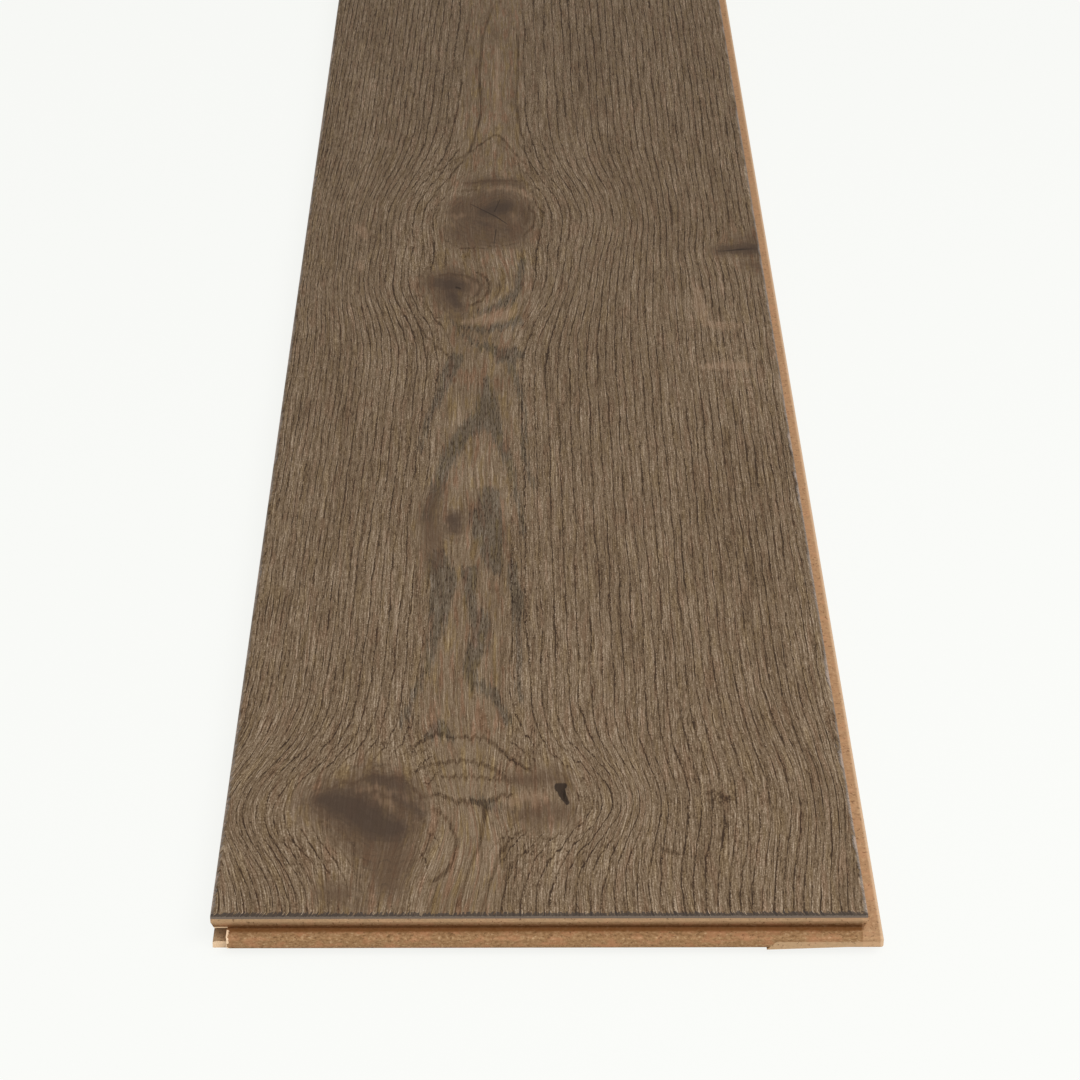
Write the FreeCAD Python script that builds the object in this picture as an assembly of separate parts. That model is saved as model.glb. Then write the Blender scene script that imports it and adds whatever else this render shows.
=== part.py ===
import FreeCAD, Part
import math
import os

# Wide plank floorboard: a thick oak face glued on a fibreboard core, tongued and grooved on all four edges.
# +X points across the board to the long tongue, +Y along it away from the end tongue, +Z up.
# The origin is on the underside, below the middle of the oak face. Sizes are in millimetres.

# Covering size of the oak, from shoulder to shoulder, and the board's height
face_width = 240.0
face_length = 2200.0
board_thickness = 15.0

# The oak, and the bevel taken off its four upper edges
oak_thickness = 1.9
bevel_width = 1.5
bevel_depth = 0.9

# The tongue, and what it leaves free in the next board's groove
lower_lip = 2.8
tongue_thickness = 5.4
tongue_length = 5.5
nose_top_radius = 1.0
nose_bottom_radius = 2.2
joint_clearance = 0.1
tip_clearance = 0.5

# The groove's root corners, and the chamfer that leads a tongue in over the lower lip
root_radius = 0.5
lead_in_width = 1.0
lead_in_depth = 0.5

# The lower edges stand back so that the oak edges of two boards close first
lower_setback = 0.3

# Below a narrow square edge of core, the shoulder leans in to the joint
square_edge = 1.5
undercut_depth = 1.1

# The end tongue keeps a square lower nose beside the tongue corner, with a sloping run-out
land_length = 37.0
land_height = 3.4
land_run_out = 3.4
land_taper = 1.6

# Heights and depths that follow from the sizes above
core_top = board_thickness - oak_thickness
groove_top = lower_lip + tongue_thickness + 2 * joint_clearance
groove_depth = tongue_length + tip_clearance
tongue_bottom = lower_lip + joint_clearance
tongue_top = tongue_bottom + tongue_thickness
undercut_top = core_top - square_edge


def profile(corners):
    """A flat face in the XZ plane through corners (x, z) or (x, z, radius), rounded where a radius is given."""
    points = [FreeCAD.Vector(corner[0], 0, corner[1]) for corner in corners]
    edges = []
    stops = []
    for i, corner in enumerate(corners):
        radius = corner[2] if len(corner) == 3 else 0
        if radius == 0:
            stops.append((points[i], points[i]))
            continue
        back = (points[i - 1] - points[i]).normalize()
        ahead = (points[(i + 1) % len(points)] - points[i]).normalize()
        half_angle = back.getAngle(ahead) / 2
        start = points[i] + back * (radius / math.tan(half_angle))
        end = points[i] + ahead * (radius / math.tan(half_angle))
        inward = (back + ahead).normalize()
        middle = points[i] + inward * (radius / math.sin(half_angle) - radius)
        edges.append(Part.Arc(start, middle, end).toShape())
        stops.append((start, end))
    for i in range(len(stops)):
        edges.append(Part.makeLine(stops[i - 1][1], stops[i][0]))
    return Part.Face(Part.Wire(Part.sortEdges(edges)[0]))


def core_profile(span, nose_radius):
    """The core across one pair of edges, with the groove at -span / 2 and the tongue's shoulder at span / 2."""
    mouth = -span / 2
    shoulder = span / 2
    nose = shoulder + tongue_length
    return profile([
        (mouth + lower_setback, 0),
        (shoulder - lower_setback, 0),
        (shoulder - lower_setback, tongue_bottom),
        (nose, tongue_bottom, nose_radius),
        (nose, tongue_top, nose_top_radius),
        (shoulder - undercut_depth, tongue_top),
        (shoulder, undercut_top),
        (shoulder, core_top),
        (mouth, core_top),
        (mouth, undercut_top),
        (mouth + undercut_depth, groove_top),
        (mouth + groove_depth, groove_top, root_radius),
        (mouth + groove_depth, lower_lip, root_radius),
        (mouth + lower_setback + lead_in_width, lower_lip),
        (mouth + lower_setback, lower_lip - lead_in_depth),
    ])


def oak_profile(span):
    """The oak across one pair of edges, bevelled on both."""
    edge = span / 2
    return profile([
        (-edge, core_top),
        (edge, core_top),
        (edge, board_thickness - bevel_depth),
        (edge - bevel_width, board_thickness),
        (bevel_width - edge, board_thickness),
        (-edge, board_thickness - bevel_depth),
    ])


def crossed(across, along):
    """What is common to one profile carried along the board and another carried across it."""
    lengthways = across.extrude(FreeCAD.Vector(0, 2 * face_length, 0))
    lengthways.translate(FreeCAD.Vector(0, -face_length, 0))
    crossways = along.extrude(FreeCAD.Vector(0, 2 * face_width, 0))
    crossways.translate(FreeCAD.Vector(0, -face_width, 0))
    crossways.rotate(FreeCAD.Vector(0, 0, 0), FreeCAD.Vector(0, 0, 1), -90)
    return lengthways.common(crossways)


# Core, with the lower nose rounded on both tongues
long_edges = core_profile(face_width, nose_bottom_radius)
rounded_core = crossed(long_edges, core_profile(face_length, nose_bottom_radius))

# The same core with a square lower nose on the end tongue, kept only over the land
square_core = crossed(long_edges, core_profile(face_length, 0))
land_start = face_width / 2 - land_length
land_end = face_width / 2 + tongue_length
land_zone = profile([
    (land_start, tongue_bottom),
    (land_end, tongue_bottom + land_taper),
    (land_end, tongue_bottom + land_height),
    (land_start + land_run_out, tongue_bottom + land_height),
]).extrude(FreeCAD.Vector(0, -tongue_length, 0))
land_zone.translate(FreeCAD.Vector(0, -face_length / 2, 0))
hdf_core = rounded_core.fuse(square_core.common(land_zone)).removeSplitter()

# Oak face, mitred at the corners of its bevel
oak_face = crossed(oak_profile(face_width), oak_profile(face_length))

os.makedirs("parts", exist_ok=True)
hdf_core.exportStep("parts/hdf_core.step")
oak_face.exportStep("parts/oak_face.step")
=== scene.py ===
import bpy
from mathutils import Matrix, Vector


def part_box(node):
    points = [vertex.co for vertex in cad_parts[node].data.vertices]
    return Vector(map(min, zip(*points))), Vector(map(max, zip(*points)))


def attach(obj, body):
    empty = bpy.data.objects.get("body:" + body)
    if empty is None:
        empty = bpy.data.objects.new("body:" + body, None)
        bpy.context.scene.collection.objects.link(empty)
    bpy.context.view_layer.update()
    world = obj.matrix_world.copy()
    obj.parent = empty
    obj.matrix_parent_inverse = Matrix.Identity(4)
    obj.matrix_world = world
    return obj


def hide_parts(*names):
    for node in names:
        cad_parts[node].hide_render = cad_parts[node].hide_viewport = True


bl_info = {
    "name": "Wide plank floorboard",
    "version": (1, 0, 0),
    "blender": (4, 5, 0),
    "location": "View3D > Sidebar > Floorboard",
    "description": "Dresses a floorboard: brushed oak on a fibreboard core, on a pale studio floor",
    "category": "Object",
}

import math
from collections import namedtuple

import bpy
from bpy.props import FloatProperty, FloatVectorProperty, PointerProperty
from bpy.types import Operator, Panel, PropertyGroup
from mathutils import Matrix, Vector

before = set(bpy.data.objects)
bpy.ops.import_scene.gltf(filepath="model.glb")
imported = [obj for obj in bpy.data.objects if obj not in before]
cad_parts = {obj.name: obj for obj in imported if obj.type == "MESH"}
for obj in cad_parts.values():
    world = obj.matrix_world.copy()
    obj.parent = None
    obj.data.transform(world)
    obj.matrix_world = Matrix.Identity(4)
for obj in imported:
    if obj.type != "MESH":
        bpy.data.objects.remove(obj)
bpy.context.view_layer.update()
OAK_LOW, OAK_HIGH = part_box("oak_face")
CORE_LOW, CORE_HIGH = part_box("hdf_core")

MM = 0.001

# Kinds of node that are used often, and the setting for a range with soft ends
MATH = "ShaderNodeMath"
VECTOR_MATH = "ShaderNodeVectorMath"
MAP_RANGE = "ShaderNodeMapRange"
NOISE = "ShaderNodeTexNoise"
COMBINE = "ShaderNodeCombineXYZ"
SEPARATE = "ShaderNodeSeparateXYZ"
SMOOTH = {"interpolation_type": "SMOOTHSTEP"}

# Joint of the core in millimetres: heights above the underside, the groove's depth and the end tongue's land
LOWER_LIP = 2.8
TONGUE_BOTTOM = 2.9
LAND_TOP = 6.3
TONGUE_TOP = 8.3
GROOVE_TOP = 8.4
GROOVE_DEPTH = 6.0
LAND_LENGTH = 37.0

# Camera that sees the board as the photo does, in millimetres and degrees
CAMERA_LENS = 105.277
CAMERA_SENSOR = 36.0
CAMERA_PLACE = (-7.959, -2033.485, 701.947)
CAMERA_PITCH = 29.5905
CAMERA_YAW = -0.4765
CAMERA_ROLL = 0.1673

# Soft box in front of the board, in metres
SOFT_BOX_PLACE = (0.8, -1.9, 1.8)
SOFT_BOX_AIM = (0.0, -0.75, 0.0)
SOFT_BOX_WIDTH = 2.2
SOFT_BOX_HEIGHT = 1.4
FLOOR_SIZE = 60

# How far outside a stroke counts as far, in millimetres
FAR_OUTSIDE = 30.0

# Where the oak's grid is cut finer, from one place along the board to another in millimetres: narrower
# columns on the half that is seen close up, and shorter cells where the figure turns
Zone = namedtuple("Zone", "crosswise first last cuts")
FINER_ZONES = (
    Zone(True, -1100, -130, 1),
    Zone(False, -1100, -1064, 2),
    Zone(False, -1064, -955, 5),
    Zone(False, -955, -650, 1),
    Zone(False, -650, -350, 3),
    Zone(False, 600, 740, 1),
)

# A knot bends the grain, in millimetres from the middle of the face: where it is, how far the fibres
# beside it step aside, how far across and along they do so, and how many growth rings close round it
Knot = namedtuple("Knot", "across along push reach length rings")
KNOTS = {
    "near left": Knot(-69, -1032, 16, 40, 42, 3.6),
    "near right": Knot(1, -1026, 11, 36, 34, 3.6),
    "faint": Knot(67, -1024, 7, 38, 52, 1.0),
    "pin": Knot(-36, -808, 1.5, 14, 30, 0.4),
    "ringed": Knot(-38, -560, 7, 46, 50, 2.4),
    "far": Knot(-21, -470, 10, 56, 66, 3.0),
    "edge": Knot(112, -516, 3, 24, 22, 0.4),
    "hidden middle": Knot(48, 96, 9, 44, 50, 2.5),
    "hidden pin": Knot(-12, 402, 2, 18, 28, 0.8),
    "hidden large": Knot(-46, 668, 10, 46, 56, 3.5),
    "hidden far": Knot(30, 940, 6, 36, 40, 2.0),
}

# Strokes drawn on the face, as points (across, along, half width) in millimetres. The brush is
# an oval that is twice as long as it is wide.

# Grey porous early wood, where the face cuts the growth rings almost flat
FLAMES = {
    "upper left leg": ((-38, -645, 4), (-42, -664, 3.4), (-45, -684, 2), (-49, -703, 1.2),
        (-53, -740, 0.8)),
    "upper right leg": ((-12, -643, 2.6), (-7, -676, 0.9), (-4, -709, 0.9), (-5, -743, 1.3),
        (0, -776, 0.8)),
    "middle stem": ((-23, -666, 1.6), (-22, -688, 4.4), (-22, -706, 6)),
    "middle left leg": ((-22, -706, 5.4), (-28, -713, 4.8), (-35, -729, 3.6), (-40, -749, 3.6),
        (-48, -802, 2.4)),
    "middle right leg": ((-20, -709, 4.2), (-16, -729, 2.5), (-12, -751, 1.5), (-8, -780, 1.3),
        (-5, -818, 1.2)),
    "pin patch": ((-20, -785, 5), (-22, -804, 7.5), (-20, -826, 5.5), (-18, -846, 4)),
    "lower left leg": ((-42, -843, 4.8), (-40, -860, 6), (-41, -889, 3.4), (-44, -925, 1.4),
        (-54, -970, 1.1)),
    "lower middle": ((-29, -855, 4), (-28, -876, 1.8), (-23, -897, 4.2), (-24, -911, 4.2),
        (-28, -930, 2.8), (-25, -943, 2.4), (-18, -949, 2.4), (-11, -971, 1.3)),
    "lower right leg": ((-10, -845, 2), (-8, -872, 2.8), (-8, -892, 1.3), (-8, -915, 1.2), (-7, -955, 1.2)),
    "arch crest": ((-44, -981, 1), (-39, -978, 3), (-34, -981, 1.4)),
    "lens": ((-26, -1028, 0.8), (-21, -1029, 1.5), (-17, -1031, 1.4), (-15, -1034, 0.8)),
    "first arc": ((-4, -526, 1), (-6, -538, 1.7), (-6, -554, 1.7), (-9, -571, 1.9), (-14, -581, 2),
        (-20, -586, 1.6), (-27, -592, 1)),
    "second arc": ((-42, -600, 0.7), (-34, -608, 1.2), (-28, -612, 2), (-20, -610, 2.1), (-13, -606, 2.1),
        (-7, -600, 2)),
    "third arc": ((-37, -612, 0.8), (-30, -624, 1.2), (-23, -631, 2), (-15, -640, 4), (-7, -637, 2.6)),
    "hidden flame": ((-52, -20, 1), (-24, 70, 4), (-14, 96, 3), (-6, 60, 3), (12, -30, 1)),
    "hidden second flame": ((-40, 200, 1), (-18, 270, 4), (-8, 285, 3), (4, 210, 1)),
    "hidden third flame": ((-36, 470, 1), (-12, 545, 4), (-4, 560, 4), (14, 480, 1)),
    "hidden fourth flame": ((-30, 770, 1), (-8, 850, 4), (2, 862, 3), (16, 790, 1)),
}

# Single growth rings that stand out as thin dark lines
RING_LINES = {
    "outer arch": ((-65, -1006, 0.4), (-56, -996, 0.5), (-47, -986, 0.7), (-40, -980, 0.8),
        (-34, -982, 0.6), (-28, -982, 0.8), (-20, -984, 0.8), (-16, -989, 0.9), (-10, -998, 0.9),
        (-3, -1007, 0.6)),
    "middle arch": ((-52, -1010, 0.5), (-44, -1003, 0.7), (-36, -1000, 0.8), (-28, -999, 0.8),
        (-20, -1002, 0.9), (-15, -1008, 0.9), (-10, -1013, 0.7)),
    "inner arch": ((-46, -1013, 0.4), (-38, -1010, 0.6), (-29, -1010, 0.7), (-21, -1011, 0.7),
        (-12, -1014, 0.5)),
    "lens": ((-43, -1021, 0.5), (-36, -1025, 0.8), (-30, -1027, 1), (-22, -1029, 1.1), (-16, -1026, 0.9),
        (-10, -1021, 0.6)),
    "lens leg": ((-20, -1032, 1.3), (-21, -1040, 1), (-22, -1054, 0.7), (-25, -1068, 0.5),
        (-27, -1080, 0.5), (-30, -1098, 0.5)),
    "second leg": ((-6, -1047, 0.5), (-11, -1053, 0.8), (-15, -1062, 0.9), (-18, -1078, 0.7),
        (-21, -1098, 0.6)),
    "third leg": ((-1, -1060, 0.5), (-8, -1064, 0.6), (-11, -1072, 0.7), (-13, -1086, 0.6),
        (-14, -1098, 0.6)),
    "near left loop": ((-41, -1031, 0.5), (-34, -1041, 0.7), (-31, -1053, 0.8), (-32, -1068, 0.7),
        (-36, -1077, 1), (-44, -1082, 0.7)),
    "near left brow line": ((-82, -1020, 0.5), (-74, -1014, 0.7), (-64, -1010, 0.7), (-54, -1012, 0.8),
        (-46, -1021, 0.7), (-40, -1032, 0.5)),
    "near left second brow": ((-70, -1021, 0.4), (-62, -1021, 0.6), (-55, -1026, 0.7), (-49, -1036, 0.6),
        (-47, -1046, 0.5)),
    "near left chin": ((-84, -1040, 0.4), (-76, -1046, 0.6), (-70, -1056, 0.6), (-67, -1068, 0.4)),
    "near left inner loop": ((-45, -1037, 0.4), (-41, -1048, 0.6), (-42, -1060, 0.6), (-47, -1067, 0.5)),
    "faint": ((62, -1021, 0.3), (67, -1022, 0.8), (73, -1024, 1), (77, -1027, 0.4)),
    "faint low": ((65, -1027, 0.6), (70, -1029, 0.8)),
    "small mark": ((45, -1058, 0.5), (49, -1060, 1), (53, -1062, 0.5)),
    "near right mark": ((0, -1050, 0.4), (3, -1053, 0.6), (6, -1052, 0.4)),
    "far left": ((-20, -130, 0.6), (-26, -174, 0.8), (-29, -205, 0.8), (-30, -272, 0.9), (-28, -322, 0.8),
        (-34, -379, 0.7), (-45, -421, 0.5)),
    "far right": ((-20, -130, 0.6), (-12, -170, 0.5), (-7, -205, 0.9), (-7, -239, 0.7), (-8, -310, 1),
        (-6, -353, 0.7), (0, -382, 0.6)),
    "peak": ((-62, -422, 0.4), (-50, -406, 0.6), (-40, -391, 0.6), (-32, -378, 0.7), (-26, -366, 0.7),
        (-21, -359, 0.9), (-18, -358, 0.9), (-14, -367, 0.9), (-10, -382, 0.8), (-4, -398, 0.6),
        (3, -412, 0.5), (10, -426, 0.4)),
    "far top": ((-37, -427, 0.6), (-28, -425, 1), (-18, -422, 1), (-5, -424, 0.7), (2, -432, 0.5)),
    "far second top": ((-40, -438, 0.6), (-34, -436, 1), (-24, -437, 0.6)),
    "far bottom": ((-47, -500, 0.5), (-42, -509, 0.7), (-34, -513, 0.7), (-22, -512, 0.6), (-8, -506, 0.5)),
    "far loop": ((-3, -456, 0.6), (2, -468, 0.9), (1, -484, 0.9), (-5, -498, 0.7)),
    "far outer loop": ((2, -452, 0.3), (6, -466, 0.4), (6, -482, 0.4), (2, -498, 0.3)),
    "far inner loop": ((-6, -464, 0.5), (-2, -473, 0.8), (-4, -485, 0.6)),
    "ringed top": ((-50, -547, 0.6), (-42, -545, 0.9), (-34, -548, 0.9), (-28, -556, 0.7)),
    "ringed loop": ((-29, -543, 0.7), (-22, -553, 1), (-22, -566, 1), (-26, -577, 0.9), (-33, -584, 0.7)),
    "ringed inner loop": ((-31, -549, 0.6), (-26, -558, 0.9), (-28, -569, 0.8), (-32, -575, 0.6)),
    "ringed outer loop": ((-18, -548, 0.5), (-16, -562, 0.7), (-19, -576, 0.6)),
    "left of ringed": ((-56, -578, 0.5), (-51, -592, 0.7), (-44, -602, 0.5)),
    "left of second arc": ((-58, -604, 0.6), (-52, -622, 0.7), (-46, -634, 0.8), (-41, -642, 1)),
    "middle rung": ((-20, -747, 0.5), (-12, -753, 0.5)),
}

# Brown wood round the knots
KNOT_WOOD = {
    "near left": ((-88, -1029, 5), (-80, -1029, 8), (-70, -1035, 11), (-60, -1046, 12), (-57, -1062, 10),
        (-56, -1078, 6)),
    "near left brow": ((-78, -1017, 2), (-66, -1012, 5), (-56, -1017, 6), (-48, -1030, 5)),
    "near left middle": ((-68, -1022, 6), (-58, -1029, 8), (-50, -1040, 7)),
    "near left foot": ((-80, -1085, 1.6), (-68, -1089, 2), (-64, -1098, 1.4)),
    "near right low": ((-10, -1035, 2), (-1, -1035, 4), (9, -1034, 3)),
    "near right top": ((-9, -1013, 2), (2, -1012, 3), (10, -1012, 2)),
    "pin": ((-36, -804, 4), (-37, -813, 4)),
    "pin streak": ((-44, -778, 2), (-46, -806, 5), (-44, -846, 2)),
    "far": ((-33, -466, 12), (-21, -465, 17), (-10, -469, 11)),
    "far low": ((-36, -491, 9), (-24, -494, 10), (-10, -491, 9)),
    "far top": ((-34, -428, 3), (-20, -424, 4), (-8, -428, 3)),
    "ringed": ((-51, -556, 5), (-42, -558, 10), (-31, -559, 6)),
    "ringed tail": ((-43, -572, 7), (-38, -587, 5)),
    "edge": ((96, -516, 1.4), (108, -514, 4), (122, -512, 6)),
    "edge top": ((106, -503, 1), (122, -500, 4)),
    "edge low": ((111, -532, 2), (122, -540, 5)),
    "hidden middle": ((45, 92, 8), (51, 100, 8)),
    "hidden pin": ((-12, 400, 3), (-12, 404, 3)),
    "hidden large": ((-52, 660, 10), (-40, 676, 12)),
    "hidden far": ((28, 937, 6), (32, 943, 6)),
}

# Dark hearts of the knots
KNOT_HEARTS = {
    "near left": ((-84, -1026, 2), (-77, -1028, 4.8), (-68, -1034, 6), (-61, -1043, 5.4),
        (-53, -1047, 3.4)),
    "near left brow": ((-66, -1012, 0.8), (-58, -1014, 1.7), (-51, -1017, 0.8)),
    "near left fold": ((-58, -1021, 0.4), (-53, -1024, 1), (-47, -1032, 1.4), (-44, -1036, 0.4)),
    "pin": ((-36, -806, 2.6), (-36, -810, 2.6)),
    "far": ((-25, -466, 3.2), (-20, -462, 4.6), (-15, -459, 4.6)),
    "far low": ((-34, -474, -0.6), (-24, -484, 0.6), (-12, -490, 0)),
    "ringed": ((-48, -556, 2.4), (-43, -558, 4.6), (-37, -560, 2.4)),
    "ringed tail": ((-41, -571, 2.8), (-38, -583, 1.6)),
    "edge": ((97, -516, 0.9), (104, -515, 1.8), (112, -514, 2.6), (122, -513, 3)),
    "hidden middle": ((46, 94, 3), (50, 98, 3)),
    "hidden pin": ((-12, 401, 1.6), (-12, 403, 1.6)),
    "hidden large": ((-50, 664, 4), (-42, 672, 5)),
    "hidden far": ((29, 938, 2), (31, 942, 2)),
}

# Pale, slightly rosy wood beside the knots, and places where the stain has worn thin
PALE_WOOD = {
    "crescent": ((-36, -603, 0.8), (-28, -601, 2), (-20, -598, 2.8), (-11, -593, 2)),
    "near right lens": ((-13, -1027, 0.6), (-6, -1025, 2), (3, -1024, 1.6)),
    "far top": ((-24, -437, 0.6), (-17, -432, 1), (-8, -436, 1.2), (0, -446, 0.8)),
    "far strip": ((-19, -215, 0.4), (-20, -260, 1.6), (-19, -310, 1.6), (-18, -345, 0.4)),
    "far left wisp": ((-46, -468, 0.4), (-41, -473, 0.9), (-37, -471, 0.4)),
    "far lower wisp": ((-46, -480, 0.3), (-41, -484, 0.6)),
    "far right wisp": ((-12, -468, 0.3), (-8, -473, 0.8), (-9, -481, 0.5)),
    "near left swirl": ((-70, -1018, 0.2), (-62, -1018, 0.4), (-54, -1023, 0.4), (-48, -1030, 0.2)),
    "near left inner swirl": ((-62, -1025, 0.2), (-57, -1029, 0.5), (-53, -1035, 0.2)),
    "ringed swirl": ((-34, -552, 0.3), (-29, -560, 0.8), (-31, -570, 0.6)),
    "far flame": ((-17, -410, 0.8), (-12, -418, 1)),
    "right scuff": ((84, -566, 1.5), (85, -585, 3), (86, -604, 2)),
    "right scuff foot": ((86, -605, 1.5), (95, -607, 2), (105, -607, 1.5)),
    "right low scuff": ((83, -653, 1.2), (92, -652, 2), (105, -652, 2)),
    "left scuff": ((-93, -486, 2), (-88, -496, 2.4)),
    "left low scuff": ((-90, -533, 1.6), (-89, -538, 1.6)),
}

# Open cracks and holes in the knots
CRACKS = {
    "near right hole": ((7.7, -1017.4, 1.3), (10.3, -1016.6, 0.9)),
    "near right hole foot": ((8.7, -1018.5, 1.6), (9.7, -1023.5, 1.2), (11.2, -1028, 0.7)),
    "far crack": ((-33, -455, 0.05), (-19, -472, 0.22), (-13, -482, 0.05)),
    "far short crack": ((-20, -465, 0.16), (-17, -449, 0.05)),
    "far lower crack": ((-19, -489, 0.16), (-20, -510, 0.05)),
    "ringed hole": ((-39, -561, 0.4), (-37, -563, 0.4)),
    "edge crack": ((98, -517, 0), (104, -516, 0.15), (110, -514.5, 0.3), (116, -514, 0)),
}


def colour(code):
    """Linear RGBA of an sRGB hex colour."""
    channels = [int(code[i:i + 2], 16) / 255 for i in (1, 3, 5)]
    return [c / 12.92 if c <= 0.04045 else ((c + 0.055) / 1.055) ** 2.4 for c in channels] + [1.0]


def add(tree, kind, inputs=(), operation=None, stops=(), **settings):
    """Adds a node with its settings. Its inputs are values, sockets or nodes, in the order of its sockets
    or by name or number. A range takes its value, where it goes from and to, and what that becomes. The
    stops of a colour ramp are pairs of a position and a colour."""
    node = tree.nodes.new(kind)
    if operation:
        node.operation = operation
    for name, value in settings.items():
        setattr(node, name, value)
    if not isinstance(inputs, dict):
        inputs = dict(enumerate(inputs))
    for key, value in inputs.items():
        if isinstance(value, bpy.types.Node):
            value = value.outputs[0]
        if isinstance(value, bpy.types.NodeSocket):
            tree.links.new(value, node.inputs[key])
        else:
            node.inputs[key].default_value = value
    if stops:
        marks = node.color_ramp.elements
        while len(marks) < len(stops):
            marks.new(1.0)
        for mark, (position, tint) in zip(marks, stops):
            mark.position = position
            mark.color = tint
    return node


def length_setting(name, description, millimetres):
    """A length that a user can change."""
    return FloatProperty(name=name, description=description, default=millimetres * MM, unit="LENGTH")


def colour_setting(name, description, code):
    """A colour that a user can change."""
    return FloatVectorProperty(
        name=name, description=description, subtype="COLOR", size=4, default=colour(code))


class OakFaceSettings(PropertyGroup):
    """Sizes and colours of the oak face"""
    bevel_width: length_setting("Bevel width", "How much of the face the bevel takes", 1.5)
    bevel_depth: length_setting("Bevel depth", "How much of the edge the bevel takes", 0.9)
    fibre_pitch: length_setting("Fibre pitch", "Width of one column of the relief", 0.78)
    fibre_step: length_setting("Fibre step", "Length of one cell of the relief", 12.0)
    groove_depth: length_setting("Brushed depth", "Depth of the brushed-out pores", 0.06)
    hole_depth: length_setting("Hole depth", "Depth of the hole beside a knot", 1.2)
    pore: colour_setting("Pores", "Stain at the bottom of a pore", "#3c2c1e")
    shade: colour_setting("Dark fibres", "Stain between a pore and the oak beside it", "#5c4833")
    oak: colour_setting("Oak", "Stained oak between the pores", "#746049")
    light: colour_setting("Light fibres", "Oak whose stain is brushed thin", "#8c7861")
    ridge: colour_setting("Ridges", "Worn ridges of the relief", "#b09c86")
    knot: colour_setting("Knot wood", "Brown wood round the knots", "#5a4533")
    heart: colour_setting("Knot hearts", "Dark middle of the knots", "#44362c")
    # Bevel paint: the ends' colour holds painted shade, and the sides' colour holds painted light
    end_paint_and_shade: colour_setting("End bevels", "Paint on the bevels of the ends", "#3d3530")
    side_paint_and_light: colour_setting("Side bevels", "Paint on the bevels of the sides", "#7d7369")


class CoreSettings(PropertyGroup):
    """Colours of the fibreboard"""
    dark: colour_setting("Dark fibres", "Darkest bundles of fibres", "#5f432b")
    tan: colour_setting("Fibreboard", "Most of the fibres", "#8e6b47")
    light: colour_setting("Light fibres", "Lighter bundles of fibres", "#a27f5a")
    pale: colour_setting("Pale fibres", "Palest bundles of fibres", "#cfb18c")
    # Colour of the land and the groove, also used for the painted light on the upper lips
    fresh_and_lit: colour_setting("Fresh cuts", "Lips and land of the joint", "#c9a984")
    # Colour of the painted shadow in the root of the end tongue, under its upper lip
    root_shadow_colour: colour_setting("Painted shadow", "Dust in the root of the end tongue", "#6c421c")


class StageSettings(PropertyGroup):
    """Floor and light"""
    floor: colour_setting("Floor", "Pale studio floor", "#fafbf8")
    sky_light: FloatProperty(
        name="Sky light", description="Light from all round", default=0.42, subtype="FACTOR")
    key_light: FloatProperty(
        name="Key light", description="Power of the soft box in watts", default=41.0, unit="POWER")


def knot_group():
    """Node group for one knot: how far the fibres step aside, and how high and steeply the rings rise."""
    tree = bpy.data.node_groups.new("Knot in the grain", "GeometryNodeTree")
    for name in ("Across", "Along", "Knot across", "Knot along", "Reach", "Length", "Push"):
        tree.interface.new_socket(name, in_out="INPUT", socket_type="NodeSocketFloat")
    for name in ("Shift", "Hill"):
        tree.interface.new_socket(name, in_out="OUTPUT", socket_type="NodeSocketFloat")
    tree.interface.new_socket("Slope", in_out="OUTPUT", socket_type="NodeSocketVector")
    given = tree.nodes.new("NodeGroupInput").outputs
    aside = add(tree, MATH, (given["Across"], given["Knot across"]), "SUBTRACT")
    ahead = add(tree, MATH, (given["Along"], given["Knot along"]), "SUBTRACT")
    aside = add(tree, MATH, (aside, given["Reach"]), "DIVIDE")
    ahead = add(tree, MATH, (ahead, given["Length"]), "DIVIDE")

    # The rings rise in a bell-shaped hill over the knot
    square = add(tree, MATH, (aside, aside), "MULTIPLY")
    square = add(tree, MATH, (ahead, ahead, square), "MULTIPLY_ADD")
    fall = add(tree, MATH, (0.0, square), "SUBTRACT")
    hill = add(tree, MATH, (fall,), "EXPONENT")

    # The step aside has its peak where the hill is steepest, and the peak is the push
    peak = math.sqrt(2 * math.e)
    shift = add(tree, MATH, (aside, hill), "MULTIPLY")
    shift = add(tree, MATH, (shift, given["Push"]), "MULTIPLY")
    shift = add(tree, MATH, (shift, peak), "MULTIPLY")
    slope = add(tree, COMBINE, (aside, ahead))
    size = add(tree, COMBINE, (given["Reach"], given["Length"], 1.0))
    slope = add(tree, VECTOR_MATH, (slope, size), "DIVIDE")
    slope = add(tree, VECTOR_MATH, {0: slope, "Scale": hill}, "SCALE")
    slope = add(tree, VECTOR_MATH, {0: slope, "Scale": -2.0}, "SCALE")
    add(tree, "NodeGroupOutput", {"Shift": shift, "Hill": hill, "Slope": slope})
    return tree


def pore_lines(tree, rings, along, half_width, broken):
    """Adds lines of open pores, one in each growth ring and broken into dashes. Gives a 0 to 1 socket."""
    near = add(tree, MATH, (rings, 0.5), "PINGPONG")
    full = add(tree, MATH, (half_width, 0.4), "MULTIPLY")
    line = add(tree, MAP_RANGE, (near, half_width, full, 0.0, 1.0), **SMOOTH)

    # Long gaps and short ones, in millimetres, which differ from ring to ring
    ring = add(tree, MATH, (rings,), "ROUND")
    apart = add(tree, MATH, (ring, 5.3), "MULTIPLY")
    for length, share in ((90, 0.4), (15, broken)):
        stretch = add(tree, MATH, (along, 1 / length), "MULTIPLY")
        spot = add(tree, COMBINE, (apart, stretch))
        gap = add(tree, NOISE, {
            "Vector": spot, "Scale": 1.0, "Detail": 3.0, "Roughness": 0.65}, noise_dimensions="2D")
        gap = add(tree, MAP_RANGE, (gap, 0.6, 0.34, 0.0, share), **SMOOTH)
        gap = add(tree, MATH, (1.0, gap), "SUBTRACT")
        line = add(tree, MATH, (line, gap), "MULTIPLY")
    return line


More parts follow.
